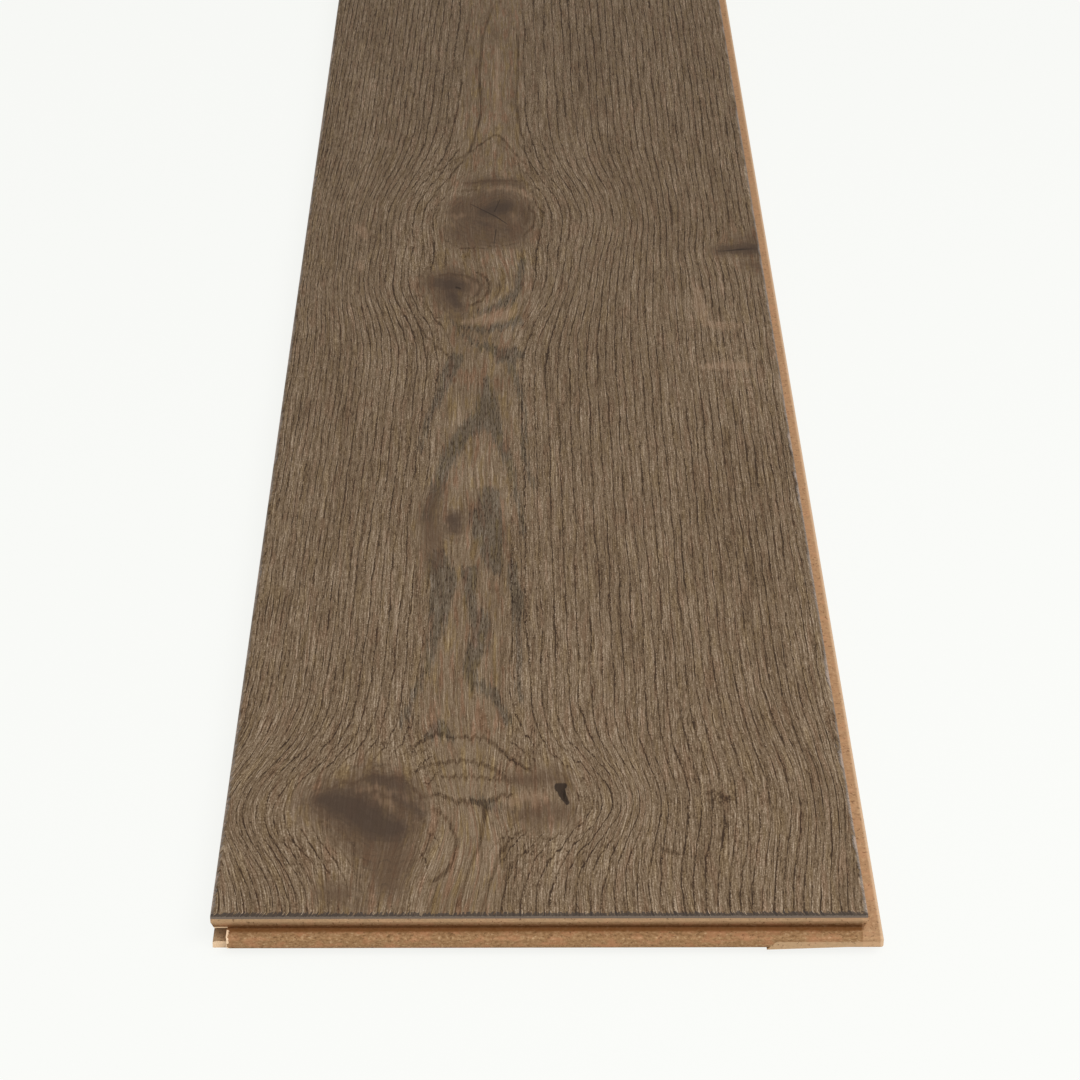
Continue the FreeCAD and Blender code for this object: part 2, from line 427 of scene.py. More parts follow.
def brush_group(kind):
    """Node group for one length of a brush stroke: how far outside it a place is, in millimetres."""
    tree = bpy.data.node_groups.new("Brush stroke", kind)
    for name in ("Place", "From", "To"):
        tree.interface.new_socket(name, in_out="INPUT", socket_type="NodeSocketVector")
    tree.interface.new_socket("Outside", in_out="INPUT", socket_type="NodeSocketFloat")
    tree.interface.new_socket("Outside", in_out="OUTPUT", socket_type="NodeSocketFloat")
    given = tree.nodes.new("NodeGroupInput").outputs
    oval = (1.0, 0.5, 0.0)
    run = add(tree, VECTOR_MATH, (given["To"], given["From"]), "SUBTRACT")
    flat_run = add(tree, VECTOR_MATH, (run, oval), "MULTIPLY")
    start = add(tree, VECTOR_MATH, (given["Place"], given["From"]), "SUBTRACT")
    start = add(tree, VECTOR_MATH, (start, oval), "MULTIPLY")
    ahead = add(tree, VECTOR_MATH, (start, flat_run), "DOT_PRODUCT")
    whole = add(tree, VECTOR_MATH, (flat_run, flat_run), "DOT_PRODUCT")
    share = add(tree, MATH, (ahead.outputs["Value"], whole.outputs["Value"]), "DIVIDE", use_clamp=True)

    # The nearest place on the run has the brush's half width there as its third number
    near = add(tree, VECTOR_MATH, {0: run, "Scale": share}, "SCALE")
    near = add(tree, VECTOR_MATH, (near, given["From"]), "ADD")
    apart = add(tree, VECTOR_MATH, (given["Place"], near), "SUBTRACT")
    apart = add(tree, VECTOR_MATH, (apart, oval), "MULTIPLY")
    apart = add(tree, VECTOR_MATH, (apart,), "LENGTH").outputs["Value"]
    width = add(tree, SEPARATE, (near,)).outputs[2]
    outside = add(tree, MATH, (apart, width), "SUBTRACT")
    outside = add(tree, MATH, (outside, given["Outside"]), "MINIMUM")
    add(tree, "NodeGroupOutput", {"Outside": outside})
    return tree


def drawn_strokes(tree, group_node, group, strokes, place):
    """Adds strokes to a tree, and gives how far outside the nearest of them a place is, in millimetres."""
    outside = FAR_OUTSIDE
    for stroke in strokes.values():
        for start, end in zip(stroke, stroke[1:]):
            outside = add(tree, group_node, {"Place": place, "From": start, "To": end, "Outside": outside},
                          node_tree=group)
    return outside


def grain_tree(settings):
    """Geometry nodes that bend a flat sheet's columns along the fibres, and brush the pores out of it."""
    tree = bpy.data.node_groups.new("Brushed oak grain", "GeometryNodeTree")
    tree.interface.new_socket("Geometry", in_out="INPUT", socket_type="NodeSocketGeometry")
    tree.interface.new_socket("Geometry", in_out="OUTPUT", socket_type="NodeSocketGeometry")
    sheet = tree.nodes.new("NodeGroupInput")
    place = add(tree, "GeometryNodeInputPosition")
    place = add(tree, VECTOR_MATH, {0: place, "Scale": 1 / MM}, "SCALE")
    split = add(tree, SEPARATE, (place,))
    across, along = split.outputs[:2]

    # Noise over fibres of a width and a length in millimetres
    noises = {"teeth": (1.9, 55, 1), "wander": (6, 26, 2), "waver": (7, 80, 1)}
    for name, (width, length, detail) in noises.items():
        spread = add(tree, VECTOR_MATH, (place, (1 / width, 1 / length, 0.0)), "MULTIPLY")
        noises[name] = add(tree, NOISE, {"Vector": spread, "Scale": 1.0, "Detail": detail},
                           noise_dimensions="2D")

    # Fibres that run out at different places along the board give the figure its toothed edges
    teeth = add(tree, MATH, (noises["teeth"], 0.5), "SUBTRACT")
    toothed = add(tree, MATH, (teeth, 34.0, along), "MULTIPLY_ADD")
    frayed = add(tree, MATH, (teeth, 14.0, along), "MULTIPLY_ADD")
    nicked = add(tree, MATH, (teeth, 8.0, along), "MULTIPLY_ADD")

    # Fibres step aside at the knots, and the growth rings close round them
    group = knot_group()
    shift = lift = 0.0
    slope = (0.0, 0.0, 0.0)
    for knot in KNOTS.values():
        there = {
            "Across": across, "Knot across": knot.across, "Knot along": knot.along,
            "Reach": knot.reach, "Length": knot.length, "Push": knot.push}
        fibres = add(tree, "GeometryNodeGroup", {**there, "Along": along}, node_tree=group).outputs
        rising = add(tree, "GeometryNodeGroup", {**there, "Along": nicked}, node_tree=group).outputs
        count = (knot.rings, knot.rings, 0.0)
        shift = add(tree, MATH, (fibres["Shift"], shift))
        lift = add(tree, MATH, (rising["Hill"], knot.rings, lift), "MULTIPLY_ADD")
        slope = add(tree, VECTOR_MATH, (rising["Slope"], count, slope), "MULTIPLY_ADD")
    wander = add(tree, MATH, (noises["wander"], 0.5), "SUBTRACT")
    shift = add(tree, MATH, (wander, 1.6, shift), "MULTIPLY_ADD")

    # Growth rings: tight on the left of the heart line, wide on the right, and tapering along the board
    heart_radius = 20.0
    rings_per_mm = 0.2
    mm_per_ring_along = 325
    first_ring = -0.04
    heart = add(tree, MATH, (along, 0.011, -19.0), "MULTIPLY_ADD")
    aside = add(tree, MATH, (across, heart), "SUBTRACT")
    square = add(tree, MATH, (aside, aside, heart_radius ** 2), "MULTIPLY_ADD")
    reach = add(tree, MATH, (square,), "SQRT")
    away = add(tree, MATH, (reach, heart_radius), "SUBTRACT")
    tighter = add(tree, MAP_RANGE, (aside, -14.0, 14.0, 0.0017, 0.0004), **SMOOTH)
    tighter = add(tree, MATH, (away, tighter), "MULTIPLY")
    rings = add(tree, MATH, (tighter, rings_per_mm))
    rings = add(tree, MATH, (away, rings), "MULTIPLY")
    rings = add(tree, MATH, (toothed, 1 / mm_per_ring_along, rings), "MULTIPLY_ADD")
    rings = add(tree, MATH, (rings, first_ring))
    rings = add(tree, MATH, (rings, lift), "SUBTRACT")
    rings = add(tree, MATH, (noises["waver"], 0.6, rings), "MULTIPLY_ADD")

    # How many rings there are in a millimetre, from the slope of the above
    per_mm = add(tree, MATH, (tighter, 2.0, rings_per_mm), "MULTIPLY_ADD")
    sloped = add(tree, MATH, (aside, reach), "DIVIDE")
    per_mm = add(tree, MATH, (per_mm, sloped), "MULTIPLY")
    per_mm = add(tree, COMBINE, (per_mm, 1 / mm_per_ring_along))
    per_mm = add(tree, VECTOR_MATH, (per_mm, slope), "SUBTRACT")
    per_mm = add(tree, VECTOR_MATH, (per_mm,), "LENGTH").outputs["Value"]

    # Drawn figure and knots, on the face as the fibres leave it
    moved = add(tree, MATH, (across, shift))
    group = brush_group("GeometryNodeTree")
    drawn = []
    for strokes, edge in ((FLAMES, frayed), (RING_LINES, nicked), (KNOT_WOOD, along), (KNOT_HEARTS, along),
                          (PALE_WOOD, nicked), (CRACKS, along)):
        spot = add(tree, COMBINE, (moved, edge))
        drawn.append(drawn_strokes(tree, "GeometryNodeGroup", group, strokes, spot))
    flame, ring_line, wood, heart_wood, pale, crack = drawn

    # Pores brushed out along the rings, and less where the grain is disturbed or cut flat
    half_width = add(tree, MATH, (per_mm, 1.1), "MULTIPLY")
    groove = pore_lines(tree, rings, along, half_width, 0.5)
    still = add(tree, MAP_RANGE, (wood, 0.0, 8.0, 0.0, 1.0), **SMOOTH)
    steep = add(tree, MATH, (aside,), "ABSOLUTE")
    steep = add(tree, MAP_RANGE, (steep, 12.0, 22.0, 0.05, 1.0), **SMOOTH)
    open_grain = add(tree, MATH, (still, steep), "MULTIPLY")
    groove = add(tree, MATH, (groove, open_grain), "MULTIPLY")

    # What the finish needs stays on the sheet: the place in the grain, the strokes, how open the grain is
    grain = add(tree, COMBINE, (across, along, rings))
    figure = add(tree, COMBINE, (flame, wood, heart_wood))
    opening = add(tree, COMBINE, (open_grain, per_mm, pale))
    kept = sheet
    for name, value, kind in (("ring line", ring_line, "FLOAT"), ("grain", grain, "FLOAT_VECTOR"),
                              ("figure", figure, "FLOAT_VECTOR"), ("opening", opening, "FLOAT_VECTOR")):
        kept = add(tree, "GeometryNodeStoreNamedAttribute", {"Geometry": kept, "Name": name, "Value": value},
                   data_type=kind, domain="POINT")

    # The fibres move aside, and the pores and the hole sink
    shift = add(tree, MATH, (shift, MM), "MULTIPLY")
    sink = add(tree, MATH, (groove, -settings.groove_depth), "MULTIPLY")
    hole = add(tree, MAP_RANGE, (crack, 0.0, -0.9, 0.0, -settings.hole_depth), **SMOOTH)
    sink = add(tree, MATH, (sink, hole), "MINIMUM")
    move = add(tree, COMBINE, {0: shift, 2: sink})
    bent = add(tree, "GeometryNodeSetPosition", {"Geometry": kept, "Offset": move})
    add(tree, "NodeGroupOutput", (bent,))
    return tree


def bare_material(name):
    """A new material that has no nodes yet."""
    material = bpy.data.materials.new(name)
    material.use_nodes = True
    material.node_tree.nodes.clear()
    return material


def brushed_oak(settings):
    """Brushed, stained oak: dark pores along the fibres, pale worn ridges, brown knots, and darker bevels
    with painted shade on the ends and painted light on the sides.
    """
    material = bare_material("Brushed stained oak")
    tree = material.node_tree
    grain = add(tree, "ShaderNodeAttribute", attribute_name="grain").outputs["Vector"]
    split = add(tree, SEPARATE, (grain,))
    along, rings = split.outputs[1:]
    figure = add(tree, "ShaderNodeAttribute", attribute_name="figure").outputs["Vector"]
    in_flame, in_wood, in_heart = add(tree, SEPARATE, (figure,)).outputs
    opening = add(tree, "ShaderNodeAttribute", attribute_name="opening").outputs["Vector"]
    open_grain, per_mm, in_pale = add(tree, SEPARATE, (opening,)).outputs
    place = add(tree, "ShaderNodeTexCoord").outputs["Object"]
    place = add(tree, VECTOR_MATH, {0: place, "Scale": 1 / MM}, "SCALE")

    # Fibres at several widths and lengths in millimetres, with the noise's detail. Real fibres are a few
    # hundredths of a millimetre wide, so even the finest are drawn coarser to show in the render.
    fibres = {
        "thread": (0.52, 30, 3),
        "hair": (0.42, 5, 1),
        "grit": (0.5, 1.2, 1),
        "streak": (2.6, 80, 2),
        "cloud": (26, 180, 2),
        "wiggle": (2.6, 9, 2),
        "tint": (3.2, 34, 2),
        "comb": (1.0, 30, 2),
        "dot": (1.3, 3.4, 1),
    }
    for name, (width, length, detail) in fibres.items():
        stretch = add(tree, VECTOR_MATH, (grain, (1 / width, 1 / length, 0.0)), "MULTIPLY")
        noise = add(tree, NOISE, {
            "Vector": stretch, "Scale": 1.0, "Detail": detail, "Roughness": 0.65}, noise_dimensions="2D")
        fibres[name] = add(tree, MATH, (noise, 0.5), "SUBTRACT")

    # Open pores: one strong line in each ring, fainter lines between, and small dashes. Real pores are
    # about 0.3 mm wide. The lines are drawn wider than that, so that they show in the render.
    wiggled = rings
    for part, weight in ((fibres["wiggle"], 0.24), (fibres["grit"], 0.14)):
        wiggled = add(tree, MATH, (part, weight, wiggled), "MULTIPLY_ADD")
    open_pores = add(tree, MATH, (open_grain, 0.8, 0.2), "MULTIPLY_ADD")
    thick = add(tree, MAP_RANGE, (along, -750.0, -350.0, 0.38, 0.48))
    finer = add(tree, MAP_RANGE, (per_mm, 0.22, 0.42, 1.0, 0.78))
    thick = add(tree, MATH, (thick, finer), "MULTIPLY")
    half_width = add(tree, MATH, (per_mm, thick), "MULTIPLY")
    broken = add(tree, MAP_RANGE, (per_mm, 0.24, 0.4, 0.45, 0.85))
    groove = pore_lines(tree, wiggled, along, half_width, broken)
    groove = add(tree, MATH, (groove, open_pores), "MULTIPLY")
    dots = add(tree, MAP_RANGE, (fibres["dot"], -0.2, 0.2, 0.6, 1.2))
    groove = add(tree, MATH, (groove, dots), "MULTIPLY")
    between = add(tree, MATH, (fibres["streak"], 3.0, 0.37), "MULTIPLY_ADD")
    between = add(tree, MATH, (wiggled, 2.4, between), "MULTIPLY_ADD")
    minor = pore_lines(tree, between, along, 0.2, broken)
    minor = add(tree, MATH, (minor, open_pores), "MULTIPLY")
    dash = add(tree, MAP_RANGE, (fibres["hair"], 0.03, 0.2, 0.0, 1.0), **SMOOTH)
    speck = add(tree, MAP_RANGE, (fibres["grit"], 0.25, 0.33, 0.0, 1.0), **SMOOTH)

    # Figure: porous early wood with a ragged edge, paler wood beside the knots, and dark ring lines
    masks = []
    for outside, soft in ((in_flame, 0.9), (in_pale, 1.4)):
        edge = add(tree, MATH, (fibres["comb"], 7.0, outside), "MULTIPLY_ADD")
        masks.append(add(tree, MAP_RANGE, (edge, soft, -soft, 0.0, 1.0), **SMOOTH))
    flame, pale = masks
    porous = add(tree, MATH, (dash, flame), "MULTIPLY")
    line = add(tree, "ShaderNodeAttribute", attribute_name="ring line").outputs["Fac"]
    for part, weight in ((fibres["comb"], 0.9), (fibres["hair"], 1.0)):
        line = add(tree, MATH, (part, weight, line), "MULTIPLY_ADD")
    line = add(tree, MAP_RANGE, (line, 0.2, -0.4, 0.0, 1.0), **SMOOTH)

    # Knots: brown wood with fine rings, and a dark heart
    ragged = add(tree, NOISE, {
        "Vector": place, "Scale": 1 / 7, "Detail": 4.0, "Roughness": 0.65}, noise_dimensions="2D")
    ragged = add(tree, MATH, (ragged, 0.5), "SUBTRACT")
    masks = []
    for outside, soft in ((in_wood, 5.0), (in_heart, 3.4)):
        edge = add(tree, MATH, (ragged, 1.6 * soft, outside), "MULTIPLY_ADD")
        edge = add(tree, MATH, (fibres["thread"], 0.15 * soft, edge), "MULTIPLY_ADD")
        masks.append(add(tree, MAP_RANGE, (edge, soft, -soft, 0.0, 0.76), **SMOOTH))
    wood, heart = masks
    ring_pitch = 2.4
    ringed = add(tree, MATH, (ragged, 5.0, in_heart), "MULTIPLY_ADD")
    ringed = add(tree, MATH, (ringed, 1 / ring_pitch), "MULTIPLY")
    ringed = add(tree, MATH, (ringed, 0.5), "PINGPONG")
    ringed = add(tree, MAP_RANGE, (ringed, 0.24, 0.02, 0.0, 0.36), **SMOOTH)
    close = add(tree, MAP_RANGE, (in_wood, 7.0, -2.0, 0.0, 1.0), **SMOOTH)
    ringed = add(tree, MATH, (ringed, close), "MULTIPLY")
    patch = add(tree, MAP_RANGE, (ragged, -0.1, 0.12, 0.2, 1.0), **SMOOTH)
    ringed = add(tree, MATH, (ringed, patch), "MULTIPLY")

    # Cracks are finer than the mesh, so they are drawn here
    crack = drawn_strokes(tree, "ShaderNodeGroup", brush_group("ShaderNodeTree"), CRACKS, place)
    crack = add(tree, MAP_RANGE, (crack, 0.3, -0.1, 0.0, 0.92), **SMOOTH)

    # Tone from 0, the bottom of a pore, to 1, a worn ridge
    fine = add(tree, MATH, (fibres["hair"], -0.8), "MULTIPLY")
    fine = add(tree, MATH, (fibres["grit"], 1.0, fine), "MULTIPLY_ADD")
    coarse = add(tree, MATH, (open_grain, 0.4, 0.35), "MULTIPLY_ADD")
    fine = add(tree, MATH, (fine, coarse), "MULTIPLY")
    tone = 0.59
    for part, weight in (
            (fibres["thread"], 1.2), (fine, 1.0), (fibres["streak"], 0.35), (fibres["cloud"], 0.25),
            (dash, -0.1), (speck, 0.5), (groove, -0.68), (minor, -0.22), (porous, -0.24), (line, -0.3),
            (pale, 0.12)):
        tone = add(tree, MATH, (part, weight, tone), "MULTIPLY_ADD")
    paint = add(tree, "ShaderNodeValToRGB", (tone,), stops=(
        (0.0, settings.pore), (0.25, settings.shade), (0.5, settings.oak), (0.75, settings.light),
        (1.0, settings.ridge)))

    # Rosy and golden streaks in the stain, stronger where the grain is cut flat, and greyer porous wood
    flat = add(tree, MATH, (open_grain, -0.6, 1.0), "MULTIPLY_ADD")
    stains = [(flame, "#d6dce3")]
    for low, high, code in ((0.02, 0.2, "#ffebe3"), (-0.02, -0.2, "#fff9dd")):
        mask = add(tree, MAP_RANGE, (fibres["tint"], low, high, 0.0, flat), **SMOOTH)
        stains.append((mask, code))
    for mask, code in stains:
        paint = add(tree, "ShaderNodeMix", {0: mask, 6: paint, 7: colour(code)}, data_type="RGBA",
                    blend_type="MULTIPLY").outputs[2]
    pale = add(tree, MATH, (pale, 0.36), "MULTIPLY")
    layers = [(wood, settings.knot), (heart, settings.heart), (ringed, colour("#45372a")),
              (pale, colour("#94775d")), (crack, colour("#33271e"))]

    # Bevels: dark paint with painted shade on the ends, grey paint with painted light and a painted
    # highlight along the outer rim on the sides, and raw oak on the edge below
    settle = add(tree, VECTOR_MATH, (place,), "ABSOLUTE")
    edges = (OAK_HIGH - Vector((settings.bevel_width, settings.bevel_width, settings.bevel_depth))) / MM
    beyond = add(tree, VECTOR_MATH, (settle, edges), "SUBTRACT")
    beyond = add(tree, SEPARATE, (beyond,)).outputs
    chips = add(tree, NOISE, {"Vector": place, "Scale": 1 / 0.7, "Detail": 2.0})
    chips = add(tree, MATH, (chips, 0.5), "SUBTRACT")
    # The sides' paint holds painted light, the paler rim on the sides is a painted highlight, and the ends'
    # paint holds painted shade
    for past, reach, tint in ((beyond[0], 0.5, settings.side_paint_and_light), (beyond[0], 1.25, colour("#ae998a")),
                              (beyond[1], 0.2, settings.end_paint_and_shade)):
        inside = past
        for part, weight in ((chips, 2.6), (groove, 1.0), (fibres["comb"], 2.4)):
            inside = add(tree, MATH, (part, weight, inside), "MULTIPLY_ADD")
        mask = add(tree, MAP_RANGE, (inside, reach - 0.1, reach + 0.4, 0.0, 0.85), **SMOOTH)
        layers.append((mask, tint))
    outer = add(tree, MATH, (beyond[0], beyond[1]), "MAXIMUM")
    outer = add(tree, MATH, (outer, 1.2), "GREATER_THAN")
    below = add(tree, MATH, (chips, 0.5, beyond[2]), "MULTIPLY_ADD")
    square = add(tree, MAP_RANGE, (below, 0.1, -0.1, 0.0, 0.9), **SMOOTH)
    square = add(tree, MATH, (square, outer), "MULTIPLY")
    layers.append((square, colour("#7a6d61")))
    for mask, tint in layers:
        paint = add(tree, "ShaderNodeMix", {0: mask, 6: paint, 7: tint}, data_type="RGBA").outputs[2]

    # Relief too fine for the mesh
    height = add(tree, MATH, (fibres["thread"], 0.5), "MULTIPLY")
    height = add(tree, MATH, (dash, -0.4, height), "MULTIPLY_ADD")
    height = add(tree, MATH, (groove, -1.0, height), "MULTIPLY_ADD")
    bump = add(tree, "ShaderNodeBump", {"Strength": 0.5, "Distance": 0.2 * MM, "Height": height})
    shader = add(tree, "ShaderNodeBsdfPrincipled", {
        "Base Color": paint, "Roughness": 0.7, "Specular IOR Level": 0.2, "Normal": bump})
    add(tree, "ShaderNodeOutputMaterial", {"Surface": shader})
    return material


def fibreboard(settings):
    """Cut fibreboard: tan and matt, flecked with pale and dark fibres, with a painted shadow in the end
    tongue's root, and painted light and highlights on the lips and the side tongue.
    """
    material = bare_material("Cut high-density fibreboard")
    tree = material.node_tree
    place = add(tree, "ShaderNodeTexCoord").outputs["Object"]
    place = add(tree, VECTOR_MATH, {0: place, "Scale": 1 / MM}, "SCALE")
    across, along, up = add(tree, SEPARATE, (place,)).outputs

    # Bundles of fibres, rosier patches, dark bits and the fray of a cut edge: size in millimetres, and the
    # noise's detail and roughness. Real bundles are finer, and are drawn coarser to show in the render.
    specks = {
        "fleck": ((1.5, 1.5, 0.9), 4.0, 0.75),
        "patch": ((6, 6, 3), 3.0, 0.6),
        "bits": ((1.1, 1.1, 1.1), 1.0, 0.5),
        "fray": ((1.4, 1.4, 1.4), 2.0, 0.5),
    }
    for name, (size, detail, roughness) in specks.items():
        stretch = add(tree, VECTOR_MATH, (place, size), "DIVIDE")
        specks[name] = add(tree, NOISE, {
            "Vector": stretch, "Scale": 1.0, "Detail": detail, "Roughness": roughness})
    paint = add(tree, "ShaderNodeValToRGB", (specks["fleck"],), stops=(
        (0.25, settings.dark), (0.44, settings.tan), (0.58, settings.light), (0.76, settings.pale)))
    rosy = add(tree, MAP_RANGE, (specks["patch"], 0.5, 0.66, 0.0, 0.5))
    bits = add(tree, MAP_RANGE, (specks["bits"], 0.63, 0.7, 0.0, 0.6))

    # Edges of the core in millimetres
    shoulder = OAK_HIGH.x / MM
    nose_tip = CORE_HIGH.x / MM
    end_shoulder = OAK_LOW.y / MM
    end_nose = CORE_LOW.y / MM
    groove_root = GROOVE_DEPTH + 0.1 - shoulder
    land_slope = shoulder - LAND_LENGTH - TONGUE_BOTTOM

    # Places where all tests hold: the land, the end of the lower lip, a frayed burr on the end tongue, a
    # painted highlight along the rim of the groove above it, the inside of the groove, and the tongue side
    rise = add(tree, MATH, (across, up), "SUBTRACT")
    frayed = add(tree, MATH, (specks["fray"], -2.6, across), "MULTIPLY_ADD")
    regions = {
        "land": ((rise, "GREATER_THAN", land_slope), (along, "LESS_THAN", end_nose + 0.7)),
        "lip": ((across, "LESS_THAN", groove_root), (up, "LESS_THAN", LOWER_LIP + 0.05),
                (along, "LESS_THAN", end_shoulder + 0.5)),
        "burr": ((frayed, "LESS_THAN", groove_root - 0.9), (along, "LESS_THAN", end_shoulder - 0.1)),
        "rim": ((across, "LESS_THAN", groove_root), (up, "GREATER_THAN", GROOVE_TOP - 0.05),
                (up, "LESS_THAN", GROOVE_TOP + 0.55), (along, "LESS_THAN", end_shoulder + 2.0)),
        "inside": ((across, "LESS_THAN", groove_root), (up, "LESS_THAN", GROOVE_TOP - 0.05)),
        "side": ((across, "GREATER_THAN", shoulder - 2.0),),
    }
    for name, tests in regions.items():
        held = 1.0
        for value, test, limit in tests:
            passed = add(tree, MATH, (value, limit), test)
            held = add(tree, MATH, (passed, held), "MULTIPLY")
        regions[name] = held

    # Fresh cuts are paler: the land, the groove, the end of the lower lip and the burr. Painted light makes
    # the upper lips, lighter towards their top, and the tongue side paler, and painted highlights lie on the
    # tongue's nose and on the groove's rim.
    # Painted light on the upper lips, paler towards their top
    upper = add(tree, MAP_RANGE, (up, 9.6, 11.4, 0.0, 0.5))
    low = add(tree, MAP_RANGE, (up, LAND_TOP + 0.2, LAND_TOP - 0.2, 0.0, 0.6))
    land = add(tree, MATH, (regions["land"], low), "MULTIPLY")
    fresh_and_lit = add(tree, MATH, (land, upper), "MAXIMUM")
    fresh_and_lit = add(tree, MATH, (regions["inside"], 0.6, fresh_and_lit), "MULTIPLY_ADD", use_clamp=True)
    # Painted light on the tongue side, stronger away from the near end
    lighter = add(tree, MAP_RANGE, (along, end_shoulder, 0.0, 0.4, 0.65))
    side = add(tree, MATH, (regions["side"], lighter), "MULTIPLY")
    # Painted highlight along the rounded nose of the side tongue
    nose = add(tree, MAP_RANGE, (across, nose_tip - 1.5, nose_tip - 0.7, 0.0, 0.55))
    # The burr's mask also carries the painted highlight along the groove's rim
    burr = add(tree, MATH, (regions["burr"], regions["rim"]), "MAXIMUM")
    lip = add(tree, MATH, (regions["lip"], burr), "MAXIMUM")
    lip = add(tree, MATH, (lip, 0.85), "MULTIPLY")

    # Painted shadow in the root of the end tongue, under its upper lip, up to the corner of the tongues, but
    # not on the burr
    root = (shoulder - 3.0, end_shoulder, TONGUE_TOP)
    apart = add(tree, VECTOR_MATH, (place, root), "SUBTRACT")
    apart = add(tree, VECTOR_MATH, (apart, (0.0, -3.0, -3.0)), "MAXIMUM")
    apart = add(tree, VECTOR_MATH, (apart,), "LENGTH").outputs["Value"]
    root_shadow = add(tree, MAP_RANGE, (apart, 2.4, 0.7, 0.0, 0.84), **SMOOTH)
    # The painted shadow stays off the burr and off the painted highlight on the groove's rim
    shadow_allowed = add(tree, MATH, (1.0, burr), "SUBTRACT")
    root_shadow = add(tree, MATH, (root_shadow, shadow_allowed), "MULTIPLY")

    for mask, tint in (
            (rosy, colour("#b57f5c")), (fresh_and_lit, settings.fresh_and_lit), (side, colour("#cba27c")),
            (bits, colour("#5e3f26")), (nose, colour("#e6c6a4")), (lip, colour("#fbdcb8")),
            (root_shadow, settings.root_shadow_colour)):
        paint = add(tree, "ShaderNodeMix", {0: mask, 6: paint, 7: tint}, data_type="RGBA").outputs[2]
    bump = add(tree, "ShaderNodeBump", {"Strength": 0.4, "Distance": 0.15 * MM, "Height": specks["fleck"]})
    shader = add(tree, "ShaderNodeBsdfPrincipled", {
        "Base Color": paint, "Roughness": 0.85, "Specular IOR Level": 0.2, "Normal": bump})
    add(tree, "ShaderNodeOutputMaterial", {"Surface": shader})
    return material


def pale_floor(settings):
    """White studio paper, matt: seen mostly at its own colour, with a faint shadow of the board."""
    own_colour = 0.9
    material = bare_material("White studio paper")
    tree = material.node_tree
    paper = add(tree, "ShaderNodeBsdfDiffuse", {"Color": settings.floor})
    glow = add(tree, "ShaderNodeEmission", {"Color": settings.floor, "Strength": 1.0})
    path = add(tree, "ShaderNodeLightPath").outputs
    seen = path["Is Camera Ray"]
    for ray in ("Is Glossy Ray", "Is Transmission Ray"):
        seen = add(tree, MATH, (seen, path[ray]), "MAXIMUM")
    seen = add(tree, MATH, (seen, own_colour), "MULTIPLY")
    shown = add(tree, "ShaderNodeMixShader", (seen, paper, glow))
    add(tree, "ShaderNodeOutputMaterial", {"Surface": shown})
    return material


class FLOORBOARD_OT_oak_face(Operator):
    """Model the oak face with its brushed relief and its bevelled edges"""
    bl_idname = "floorboard.oak_face"
    bl_label = "Oak face"

    def execute(self, context):
        settings = context.scene.floorboard_oak
        half_width = OAK_HIGH.x - settings.bevel_width
        half_length = OAK_HIGH.y - settings.bevel_width
        if min(half_width, half_length, OAK_HIGH.z - settings.bevel_depth - OAK_LOW.z) <= 0:
            raise ValueError("The bevels leave no face or no edge")

        # The sheet is wider than the face, because its columns move aside, and is cut to size after that
        spare = 10 * MM
        sheet_width = 2 * (half_width + spare)
        columns = round(sheet_width / (2 * settings.fibre_pitch))
        rows = round(2 * half_length / settings.fibre_step)
        bpy.ops.object.select_all(action="DESELECT")
        bpy.ops.mesh.primitive_grid_add(x_subdivisions=columns, y_subdivisions=rows, size=1)
        face = context.object
        face.name = "oak_face_brushed"
        face.data.name = face.name
        face.scale = (sheet_width, 2 * half_length, 1)
        face.location = (0, 0, OAK_HIGH.z)
        bpy.ops.object.transform_apply(location=True, rotation=False, scale=True)
        for zone in FINER_ZONES:
            bpy.ops.object.mode_set(mode="EDIT")
            bpy.ops.mesh.select_mode(type="EDGE")
            bpy.ops.mesh.select_all(action="DESELECT")
            bpy.ops.object.mode_set(mode="OBJECT")
            spots = face.data.vertices
            for side in face.data.edges:
                start, end = (spots[i].co for i in side.vertices)
                crosswise = abs(start.x - end.x) > abs(start.y - end.y)
                middle = (start.y + end.y) / 2
                side.select = crosswise == zone.crosswise and zone.first * MM < middle < zone.last * MM
            bpy.ops.object.mode_set(mode="EDIT")
            bpy.ops.mesh.subdivide(number_cuts=zone.cuts)
            bpy.ops.object.mode_set(mode="OBJECT")

        relief = face.modifiers.new("Brushed grain", "NODES")
        relief.node_group = grain_tree(settings)
        bpy.ops.object.modifier_apply(modifier=relief.name)

        # Trimmed at the sides, then drawn out to the bevels, the edges and the underside
        bpy.ops.object.mode_set(mode="EDIT")
        for side in (-1, 1):
            bpy.ops.mesh.select_all(action="SELECT")
            bpy.ops.mesh.bisect(
                plane_co=(side * half_width, 0, 0), plane_no=(side, 0, 0), clear_outer=True, threshold=1e-7)
        bpy.ops.mesh.select_all(action="DESELECT")
        bpy.ops.mesh.select_mode(type="EDGE")
        bpy.ops.mesh.select_non_manifold(extend=False)
        bpy.ops.mesh.extrude_region_move()
        bpy.ops.transform.resize(
            value=(OAK_HIGH.x / half_width, OAK_HIGH.y / half_length, 0),
            center_override=(0, 0, OAK_HIGH.z - settings.bevel_depth))
        bpy.ops.mesh.extrude_region_move(
            TRANSFORM_OT_translate={"value": (0, 0, OAK_LOW.z - OAK_HIGH.z + settings.bevel_depth)})
        bpy.ops.mesh.edge_face_add()
        bpy.ops.mesh.select_all(action="SELECT")
        bpy.ops.mesh.normals_make_consistent(inside=False)
        bpy.ops.object.mode_set(mode="OBJECT")
        bpy.ops.object.shade_smooth_by_angle(angle=math.radians(35))

        face.data.materials.append(brushed_oak(settings))
        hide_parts("oak_face")
        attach(face, "root")
        return {"FINISHED"}


